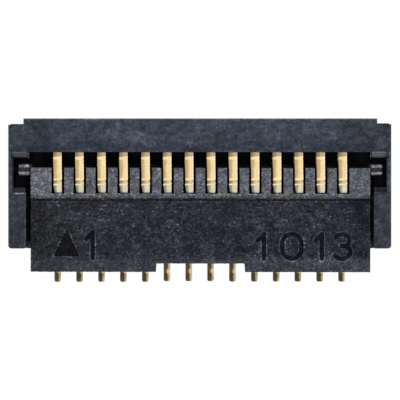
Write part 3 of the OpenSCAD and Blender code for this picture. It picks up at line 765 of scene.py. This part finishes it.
def leverFinish(b, look, spot, x, y, z, colour, tone):
    # the slotted strip is eroded coarser and paler than the plate; the marks and the groove get painted shade, with
    # painted highlights on the mark rims, the plate's edge and the pivots.
    # returns the same four as housingFinish
    strip = y.between(stripEdge - 0.006, stripEdge + 0.004) * z.between(topZ - 0.2, topZ - 0.06)
    coarse = b.noise(spot, 19, 3, 0.7, (1.0, 1.4, 1.0))
    sand = b.noise(spot, 33, 2, 0.7).between(0.12, 0.26)
    patch = b.noise(spot, 7, 3, 0.6)
    streaks = b.noise(spot, 4.5, 3, 0.55, (0.45, 4.5, 1.0))
    tint = b.noise(spot, 2.4, 2).between(-0.12, 0.12)
    # painted shade: the strip darkens towards its sloped front edge
    slopeShade = y.between(slotY + 0.02, stripEdge)
    flecks = b.noise(spot, 13, 1, twist=0.4).between(0.16, 0.24)
    stripTone = coarse * look["stripGrain"] + patch * 2.6 + sand * 0.55 + flecks * x.between(3.25, 3.15) * 0.8
    stripTone = stripTone + x.between(-3.1, -3.4) * 0.2 - x.between(3.2, 3.5) * 0.06 - slopeShade * 0.3 - 0.1
    flash = b.band(y, slotY - 0.03, slotY + 0.008, 0.008) * b.noise(spot, 14, 2).between(-0.05, 0.15) * strip
    heel = y.between(axisY + 0.005, axisY + 0.035) * strip
    colour = b.blend(x.between(-1.6, -3.0) * (1 - strip) * 0.6, colour, look["brownish"])
    colour = b.blend(strip, colour, b.blend(tint, look["strip"], look["stripWarm"]))
    sunk, rim, pivot = b.attribute("sunk"), b.attribute("rim"), b.attribute("pivot")
    # painted shade in the groove between the strip and the plate, mixed with grain
    groove = b.band(y, stripEdge - 0.046, stripEdge + 0.004, 0.006) * z.between(topZ - 0.2, topZ - 0.12)
    # painted highlight on the plate's rounded rear edge, just in front of the groove
    ledgeHighlight = b.band(y, stripEdge - 0.085, stripEdge - 0.055, 0.01)
    plateRear = y.between(stripEdge - 0.42, stripEdge - 0.15)
    tone = tone + plateRear * streaks * 2.4 - plateRear * 0.12
    front = y.between(-1.24, -1.4)
    tone = tone * (1 - front * 0.35) + front * 0.68 - x.between(-2.2, -3.2) * 0.2
    tone = tone - x.between(-3.35, -3.7) * y.between(-1.0, -0.9) * 0.2
    tone = tone - x.between(3.2, 3.65) * y.between(-0.85, -0.6) * 0.5
    tone = tone * (1 - strip) + stripTone * strip + flash * 0.55 - heel * 0.15
    # painted shade on the hinge shaft where it is seen through the slots
    shaftShade = b.band(y, axisY - 0.2, axisY + 0.2, 0.01) * z.between(topZ - 0.12, topZ - 0.17) * (1 - pivot)
    # the pivots get two painted highlight lines along X, one on each side of the hinge line, and painted shade towards
    # their outline
    toRight = x.between(-1.0, 1.0)
    yp = y + toRight * 0.01
    ribs = b.noise(spot, 15, 3, 0.75, (1.5, 0.6, 0.25)).between(-0.09, 0.09)
    upper = b.band(yp, axisY + 0.05, axisY + 0.122, 0.018) * (ribs * 1.5 + 1.3 - toRight * 0.2)
    lower = b.band(yp, axisY - 0.142, axisY - 0.052, 0.02) * (ribs * 1.6 + 2.1)
    pivotHighlights = upper + lower - (abs(y - axisY)).between(0.125, 0.15) * 0.8
    # painted highlight on the rims of the marks; below, painted shade inside the sunk marks
    tone = tone + rim * (coarse * 2.6 + 1.3) + ledgeHighlight * (coarse * 1.6 + 0.25)
    tone = tone - shaftShade * 2.2 - sunk * 1.45 + groove * (coarse * 1.5 - 0.1)
    colour = b.blend(pivot, colour, look["pivot"])
    tone = tone * (1 - pivot) + pivot * (pivotHighlights + coarse * 1.5 + 0.55)
    return colour, tone, strip * coarse * 3.0, strip * 0.12 + look["roughness"]


def goldPlate(name, look):
    # soft gold over a punched strip: the clean part is bright; the torn part on the left is duller and deeper in
    # colour, partly from the torn edge and partly painted shade, as the light falls from the right
    b = Book(bpy.data.materials.new(name))
    spot, x, y, z = b.position()
    u = ((x / pitch + 40.0).maths("FRACT") - 0.5) * pitch    # across one contact, in millimetres
    tail = z.between(housingLow[2] + 0.3, housingLow[2] + 0.25) * y.between(-0.9, -1.2)
    level = z.between(axisZ, axisZ + 0.05)
    along = b.noise(spot, 24, 3, 0.6, (1.0, 0.12, 1.0))
    patch = b.noise(spot, 5, 3, 0.6)
    fine = b.noise(spot, 40, 2, 0.6)
    side = u + (patch + fine) * 0.04
    # painted highlights: two bright rows where the hook bends, and the lip; there the torn colour gives way too
    rowHighlights = b.band(y, barY - 0.17, barY - 0.115, 0.012) + b.band(y, axisY - 0.25, axisY - 0.2, 0.014)
    lip = b.band(y, axisY - 0.362, axisY - 0.31, 0.007)
    # painted shade where the hook slopes down into the bar
    rootShade = y.between(barY - 0.105, barY - 0.08)
    # painted reflection: the falling nose is given a pale cream colour, with painted shade on its left side
    nose = y.between(axisY - 0.36, axisY - 0.376) * z.between(axisZ - 0.02, axisZ + 0.02)
    # painted shade in the groove across the hook, deeper on the left
    groove = b.band(y, axisY - 0.308, axisY - 0.26, 0.01) * level
    # painted highlight on the tail's S-curve
    tailBendHighlight = b.band(y, tailY + 0.2, tailY + 0.29, 0.045)
    # painted shade: the left side of each contact takes the duller torn colour, less so under the painted highlights
    colour = b.blend(side.between(0.024, -0.036) * (1 - (rowHighlights + lip).clamped() * 0.85), look["clean"], look["torn"])
    colour = b.blend(nose, colour, b.blend(side.between(0.008, -0.022), look["nose"], look["noseShadedSide"]))
    tone = along * 0.3 + patch * 0.3 + fine * 0.15 + rowHighlights * level * 0.1 + lip * level * 0.14 - rootShade * level * 0.55
    tone = tone - groove * (side.between(0.03, -0.03) * 0.35 + 0.1)
    # painted shade on the left half of each tail, narrower at the S-curve; the right edge gets a painted highlight
    tailShadedHalfMask = (u + patch * 0.035 + tailBendHighlight * 0.03).between(0.048, 0.01)
    colour = b.blend(tail * (1 - tailShadedHalfMask), colour, look["tailClean"])
    colour = b.blend(tail * tailShadedHalfMask, colour, look["tailShadedHalf"])
    tone = tone + tail * (tailBendHighlight * 0.25 + fine * 0.8 + patch * 0.5) + tail * side.between(0.05, 0.07) * 0.25
    colour = b.brighten(colour, tone.maths("EXPONENT").clamped(0.02, 3.0))
    rough = along * 0.2 + tail * 0.12 + look["roughness"]
    height = along * 0.5 + fine * (tail * 1.5 + 0.6)
    return b.finish(colour, rough.clamped(0.15, 0.8), height, look["bumpSize"], {"Metallic": 1.0})


goldLook = {
    # torn is the colour of the left side: torn edge and painted shade together
    "clean": (0.87, 0.69, 0.40), "torn": (0.56, 0.40, 0.185),
    "nose": (0.80, 0.73, 0.56), "noseShadedSide": (0.37, 0.34, 0.22),
    "tailClean": (0.60, 0.50, 0.30), "tailShadedHalf": (0.105, 0.080, 0.036), "roughness": 0.3, "bumpSize": 1.2e-6,
}


def tinnedSheet(name, look):
    # matt tin over steel; the cut top edge is bare, grey and drawn in fine lines along its length
    b = Book(bpy.data.materials.new(name))
    spot, x, y, z = b.position()
    lines = b.noise(spot, 26, 3, 0.65, (0.12, 1.0, 1.0))
    cloud = b.noise(spot, 6, 3, 0.6)
    cut = z.between(fittingTop - 0.12, fittingTop - 0.08)
    # painted highlight along the rear edge of the sheared top
    rearEdgeHighlight = b.band(y, fittingRear - 0.053, fittingRear - 0.024, 0.01)
    front = y.between(fittingRear - 0.12, fittingRear - 0.135)
    # painted shade over the height of the barbs, where the sheet sits in its slot
    slotShade = b.band(z, fittingShape["barbLow"] - 0.02, fittingShape["barbHigh"] + 0.02, 0.01)
    # painted shade on the sheared side that faces the middle, down in the slot
    innerSideShade = abs(x).between(3.925, 3.918) * z.between(1.079, 1.07)    # the sheared side towards the middle
    colour = b.blend(cut, look["tin"], look["cut"])
    tone = lines * 1.3 + cloud * 0.7 + cut * rearEdgeHighlight * look["rearEdgeHighlight"] + cut * x.between(-1.0, 1.0) * look["right"]
    tone = tone - cut * front * look["front"] + cut * x.between(-4.1, -4.2) * look["leftEnd"]
    tone = tone - slotShade * look["slotShade"] - innerSideShade * look["innerSideShade"]
    colour = b.brighten(colour, tone.maths("EXPONENT").clamped(0.01, 6.0))
    rough = (cut * 0.25 + lines * 0.2 + 0.38).clamped(0.2, 0.8)
    return b.finish(colour, rough, lines, look["bumpSize"], {"Metallic": 1.0})


tinLook = {
    "tin": (0.6, 0.6, 0.58), "cut": (0.092, 0.098, 0.106), "bumpSize": 3e-6,
    "rearEdgeHighlight": 0.95, "right": 0.35, "front": 0.3, "leftEnd": 0.15, "slotShade": 3.0, "innerSideShade": 3.2,
}
fittingTop = float(boxOf("fitting_left")[1][2])
fittingRear = float(boxOf("fitting_left")[1][1])
housingPlastic = glassFilledPlastic("housingPlastic", housingLook, housingFinish)
leverPlastic = glassFilledPlastic("leverPlastic", leverLook, leverFinish)
gold = goldPlate("goldPlate", goldLook)
tin = tinnedSheet("tinnedSheet", tinLook)


def dress(pieces, material):
    for piece in pieces:
        piece.data.materials.clear()
        piece.data.materials.append(material)


dress([housing], housingPlastic)
dress([lever, leverShaft], leverPlastic)
dress(contacts, gold)
dress(fittings, tin)
print("materials set")


stageLook = {
    "floorSize": 400.0, "floorGlow": 0.99, "worldStrength": 0.74,
    # place in metres, side in metres and radiance of each soft box
    "overhead": ((0.0, 0.02, 0.5), 0.5, 0.24), "rightKey": ((0.28, 0.1, 0.26), 0.26, 1.8),
    # millimetres seen from side to side at the part's top, distance above it, and how far off the middle it stands
    "frameWidth": 9.113, "distance": 200.0, "offset": 0.0057,
}
# outputs of the light path node
cameraRay, glossyRay, transmissionRay = 0, 3, 6


def paleFloor():
    size = stageLook["floorSize"] / 2
    gx, gy = np.meshgrid([-size, 0, size], [-size, 0, size], indexing="ij")
    points, quads = slab(gx, gy, np.full_like(gx, -0.002), np.full_like(gx, -2.0))
    floor = putMesh("paleFloor", points, [quads])
    b = Book(bpy.data.materials.new("paleFloor"))
    tone = b.noise(b.position()[0], 0.05, 2)
    grey = b.blend(tone.between(-0.2, 0.2), (0.8, 0.8, 0.8), (0.79, 0.79, 0.79))
    matt = b.node("ShaderNodeBsdfDiffuse", {}, {0: grey})[0]
    glow = b.node("ShaderNodeEmission", {}, {0: (1, 1, 1, 1), 1: 1.0})[0]
    rays = b.node("ShaderNodeLightPath", {}, {})
    seen = rays[cameraRay].maths("MAXIMUM", rays[glossyRay])
    mixed = b.node("ShaderNodeMixShader", {}, {0: seen * stageLook["floorGlow"], 1: matt, 2: glow})[0]
    b.node("ShaderNodeOutputMaterial", {}, {0: mixed})
    floor.data.materials.append(b.owner)


def softLight(name):
    # a square soft box turned to the middle of the part; its power is radiance * pi * area
    place, size, radiance = stageLook[name]
    light = bpy.data.lights.new(name, "AREA")
    light.size = size
    light.energy = radiance * math.pi * size * size
    lamp = bpy.data.objects.new(name, light)
    lamp.location = place
    x, y, z = place
    lamp.rotation_euler = (math.atan2(math.hypot(x, y), z), 0, math.atan2(x, -y))
    bpy.context.scene.collection.objects.link(lamp)


def whiteWorld():
    # strength 1 where it is seen, mirrored or looked at through something, and worldStrength as light
    world = bpy.data.worlds.new("softWhite")
    bpy.context.scene.world = world
    b = Book(world)
    rays = b.node("ShaderNodeLightPath", {}, {})
    seen = rays[cameraRay].maths("MAXIMUM", rays[glossyRay]).maths("MAXIMUM", rays[transmissionRay])
    strength = seen.maths("MULTIPLY_ADD", 1 - stageLook["worldStrength"], stageLook["worldStrength"])
    back = b.node("ShaderNodeBackground", {}, {1: strength})[0]
    b.node("ShaderNodeOutputWorld", {}, {0: back})


def topCamera():
    # looks straight down, with +Y up the frame
    distance, offset = stageLook["distance"], stageLook["offset"]
    data = bpy.data.cameras.new("topCamera")
    data.sensor_width = 36
    data.lens = 36 * distance / stageLook["frameWidth"]
    data.clip_start, data.clip_end = 0.01, 5
    camera = bpy.data.objects.new("topCamera", data)
    camera.location = (offset * mm, offset * mm, (topZ + distance) * mm)
    bpy.context.scene.collection.objects.link(camera)
    bpy.context.scene.camera = camera


paleFloor()
whiteWorld()
softLight("overhead")
softLight("rightKey")
topCamera()
bpy.context.scene.view_settings.view_transform = "Standard"
print("stage set")
